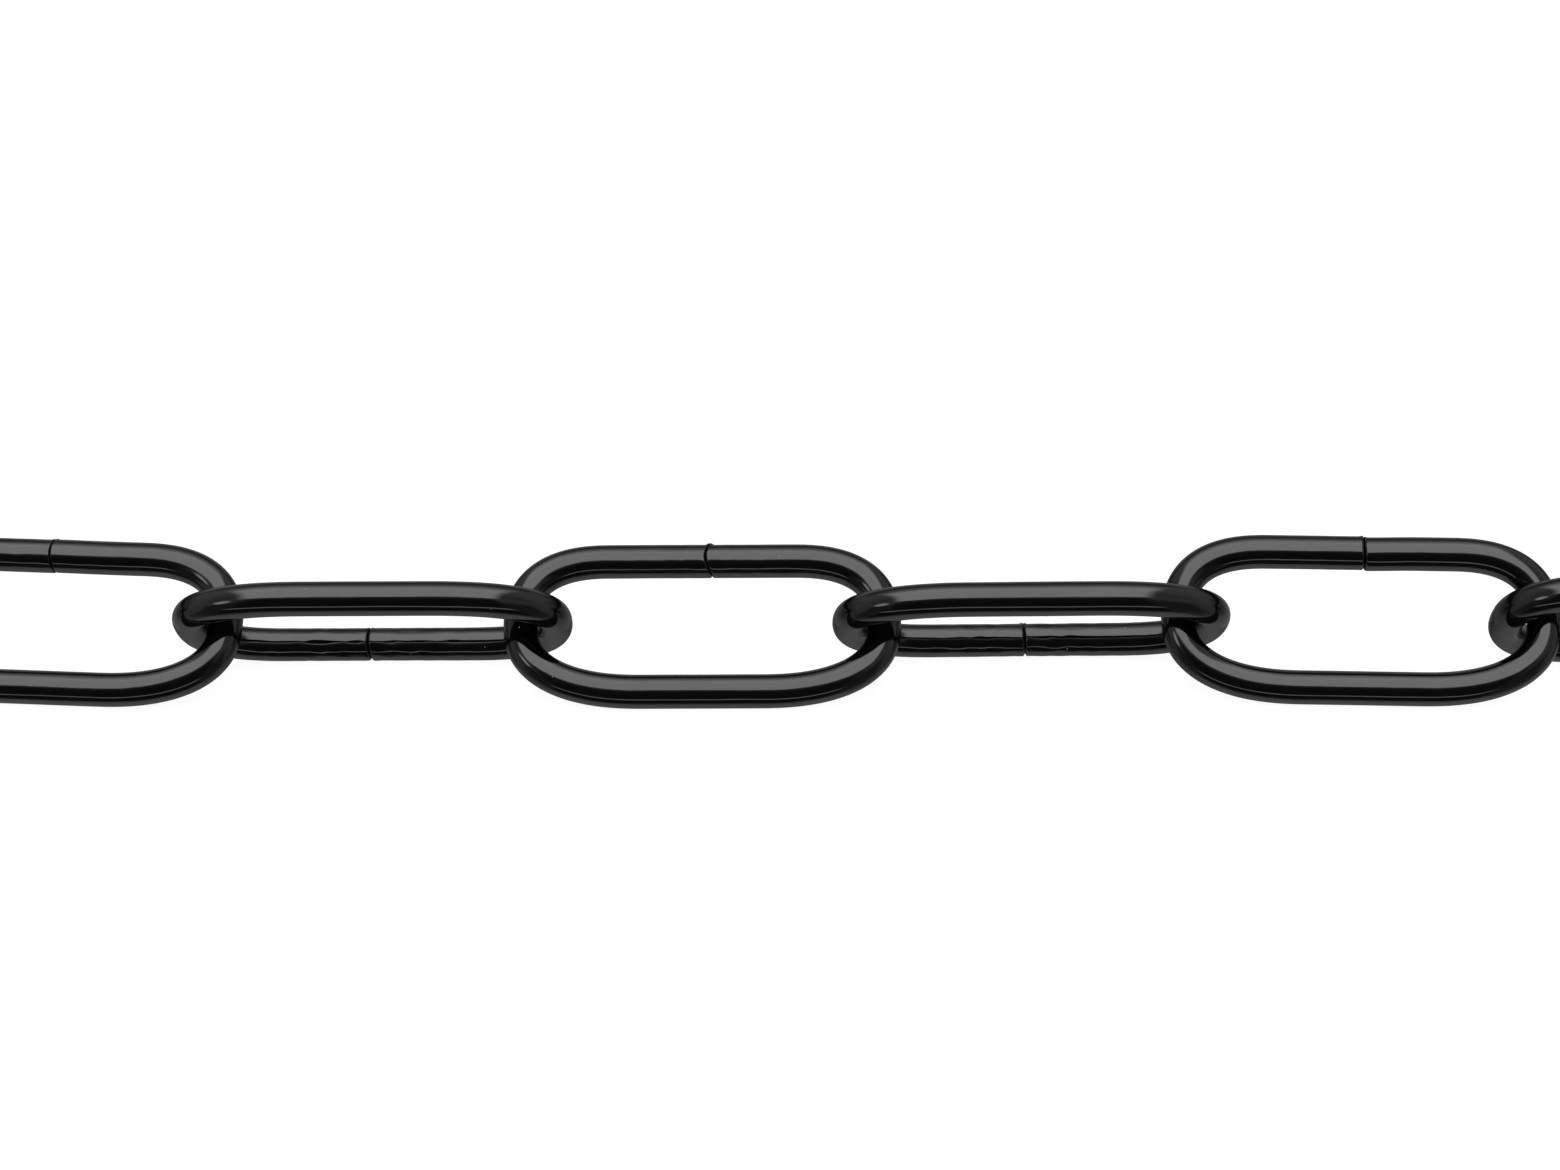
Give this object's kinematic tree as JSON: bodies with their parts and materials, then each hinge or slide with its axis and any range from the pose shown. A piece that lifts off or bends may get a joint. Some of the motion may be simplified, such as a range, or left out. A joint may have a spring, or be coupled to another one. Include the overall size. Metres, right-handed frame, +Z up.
{
  "type": "decorative chain",
  "caption": "Straight length of black-lacquered oval-link decorative chain, each link a bent round wire with a butt seam, neighbours turned about a right angle to each other.",
  "frame": {"origin": "on the floor, under the middle of the chain", "axes": "+X along the chain, from link_01 to link_10; +Y away from the viewer of the picture; +Z up"},
  "size_m": [0.3116, 0.0137, 0.0135],
  "materials": {
    "black_lacquer": "glossy black lacquer over steel wire"
  },
  "bodies": {
    "link_01": {"link_01": "black_lacquer"},
    "link_02": {"link_02": "black_lacquer"},
    "link_03": {"link_03": "black_lacquer"},
    "link_04": {"link_04": "black_lacquer"},
    "link_05": {"link_05": "black_lacquer"},
    "link_06": {"link_06": "black_lacquer"},
    "link_07": {"link_07": "black_lacquer"},
    "link_08": {"link_08": "black_lacquer"},
    "link_09": {"link_09": "black_lacquer"},
    "link_10": {"link_10": "black_lacquer"}
  },
  "joints": [
    {"name": "swing_01_02", "type": "hinge", "parent": "link_01", "child": "link_02", "pos_m": [-0.12008, -0.00033, 0.00607], "axis": [0.0074, 0.7071, 0.7071], "range_deg": [-140, 140]},
    {"name": "swing_02_03", "type": "hinge", "parent": "link_02", "child": "link_03", "pos_m": [-0.08961, 0.00103, 0.00623], "axis": [0.0274, -0.6814, 0.7314], "range_deg": [-140, 140]},
    {"name": "swing_03_04", "type": "hinge", "parent": "link_03", "child": "link_04", "pos_m": [-0.05916, -0.00112, 0.00599], "axis": [-0.0502, -0.7176, -0.6947], "range_deg": [-140, 140]},
    {"name": "swing_04_05", "type": "hinge", "parent": "link_04", "child": "link_05", "pos_m": [-0.02864, -0.00055, 0.00637], "axis": [-0.0057, 0.656, -0.7547], "range_deg": [-140, 140]},
    {"name": "swing_05_06", "type": "hinge", "parent": "link_05", "child": "link_06", "pos_m": [0.00184, -0.00035, 0.00583], "axis": [-0.0065, 0.7431, 0.6691], "range_deg": [-140, 140]},
    {"name": "swing_06_07", "type": "hinge", "parent": "link_06", "child": "link_07", "pos_m": [0.03232, 0.00025, 0.00623], "axis": [0.0119, -0.6819, 0.7314], "range_deg": [-140, 140]},
    {"name": "swing_07_08", "type": "hinge", "parent": "link_07", "child": "link_08", "pos_m": [0.06279, -0.00114, 0.00648], "axis": [-0.02, -0.6358, -0.7716], "range_deg": [-140, 140]},
    {"name": "swing_08_09", "type": "hinge", "parent": "link_08", "child": "link_09", "pos_m": [0.09328, -0.0003, 0.00672], "axis": [-0.0051, 0.5878, -0.809], "range_deg": [-140, 140]},
    {"name": "swing_09_10", "type": "hinge", "parent": "link_09", "child": "link_10", "pos_m": [0.12376, -0.00091, 0.00615], "axis": [0.0145, 0.6945, 0.7193], "range_deg": [-140, 140]}
  ]
}
